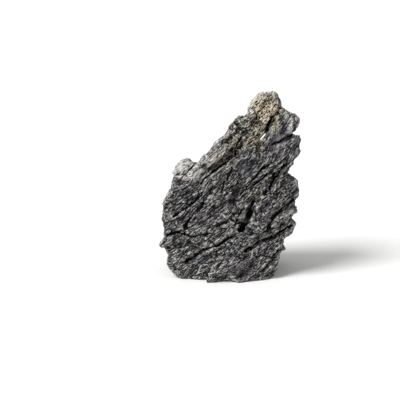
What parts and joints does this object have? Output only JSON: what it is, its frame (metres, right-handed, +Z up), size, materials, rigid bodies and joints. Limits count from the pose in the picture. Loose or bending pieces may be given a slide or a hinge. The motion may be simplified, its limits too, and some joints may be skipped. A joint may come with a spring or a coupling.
{
  "type": "seiryu stone",
  "caption": "Leaning peak of layered dark grey limestone, ribbed and cracked along its slanting beds, for an aquarium or planted tank layout",
  "frame": {"origin": "on the flat foot, z = 0, under the middle of the stone's box", "axes": "+Z up, the long way of the stone; -Y is the ribbed front that the picture shows; +X is towards the side that the peak leans to"},
  "size_m": [0.1928, 0.1474, 0.253],
  "materials": {
    "limestone": "dry, matt, weathered limestone: charcoal beds, pale worn ridges, black cracks, cream and ochre stains at the peak"
  },
  "bodies": {
    "root": {"stone": "limestone"}
  },
  "joints": []
}
